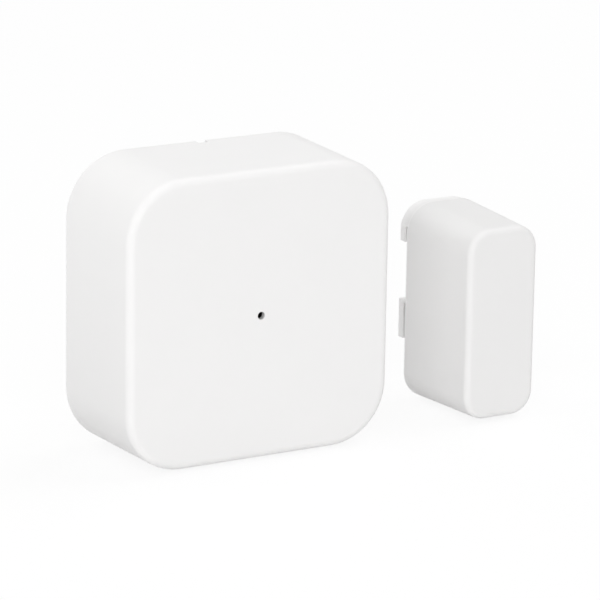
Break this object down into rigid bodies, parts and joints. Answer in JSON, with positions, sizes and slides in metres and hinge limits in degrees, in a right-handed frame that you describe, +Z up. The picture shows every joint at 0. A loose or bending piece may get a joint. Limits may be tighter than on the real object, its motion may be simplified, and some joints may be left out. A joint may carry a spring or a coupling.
{
  "type": "door sensor",
  "caption": "Door and window contact sensor: rounded square sensor unit with a pinhole in its front, and a slim magnet unit with hang-on hooks at its back.",
  "frame": {"origin": "centre of the rear face of the adhesive pad on the sensor unit", "axes": "+Y out of the back, towards the door frame it is stuck to; +Z up; +X from the sensor unit towards the magnet unit"},
  "size_m": [0.0817, 0.0229, 0.051],
  "materials": {
    "shell_white": "fine matt moulded",
    "magnet_white": "fine matt moulded",
    "foam_pad": "foam tape with paper liner",
    "board_green": "solder mask",
    "screw_steel": "zinc plated",
    "cell_sleeve": "shrink sleeve",
    "contact_nickel": "nickel plated",
    "tube_glass": "clear green glass",
    "chip_black": "moulded epoxy",
    "can_aluminium": "drawn can",
    "ceramic_tan": "fired ceramic",
    "lens_clear": "clear resin",
    "plunger_grey": "moulded nylon",
    "magnet_nickel": "nickel plated magnet"
  },
  "bodies": {
    "sensor_unit": {"sensor_housing": "shell_white", "circuit_board": "board_green", "board_screws": "screw_steel", "battery_cell": "cell_sleeve", "battery_cap": "contact_nickel", "contact_positive": "contact_nickel", "contact_negative": "contact_nickel", "reed_glass": "tube_glass", "reed_leads": "contact_nickel", "radio_board": "board_green", "radio_shield": "contact_nickel", "antenna": "contact_nickel", "main_chip": "chip_black", "buffer_capacitor": "can_aluminium", "board_passives": "ceramic_tan", "status_led": "lens_clear", "tamper_switch_body": "chip_black", "pairing_switch_body": "chip_black"},
    "back_cover": {"sensor_back_cover": "shell_white", "sensor_adhesive_pad": "foam_pad"},
    "tamper_button": {"tamper_plunger": "plunger_grey"},
    "pairing_button": {"pairing_plunger": "plunger_grey"},
    "magnet_unit": {"magnet_housing": "magnet_white", "magnet_back_cover": "magnet_white", "bar_magnet": "magnet_nickel"}
  },
  "joints": [
    {"name": "magnet_approach", "type": "slide", "parent": "sensor_unit", "child": "magnet_unit", "axis": [1, 0, 0], "range_m": [-0.012, 0.03]},
    {"name": "cover_release", "type": "slide", "parent": "sensor_unit", "child": "back_cover", "axis": [0, 1, 0], "range_m": [0, 0.02]},
    {"name": "tamper_travel", "type": "slide", "parent": "sensor_unit", "child": "tamper_button", "axis": [0, 1, 0], "range_m": [0, 0.0012]},
    {"name": "pairing_press", "type": "slide", "parent": "sensor_unit", "child": "pairing_button", "axis": [0, -1, 0], "range_m": [0, 0.00025], "stiffness_N_per_m": 60}
  ],
  "couplings": [
    {"joint": "tamper_travel", "follows": "cover_release", "ratio": 0.06}
  ]
}
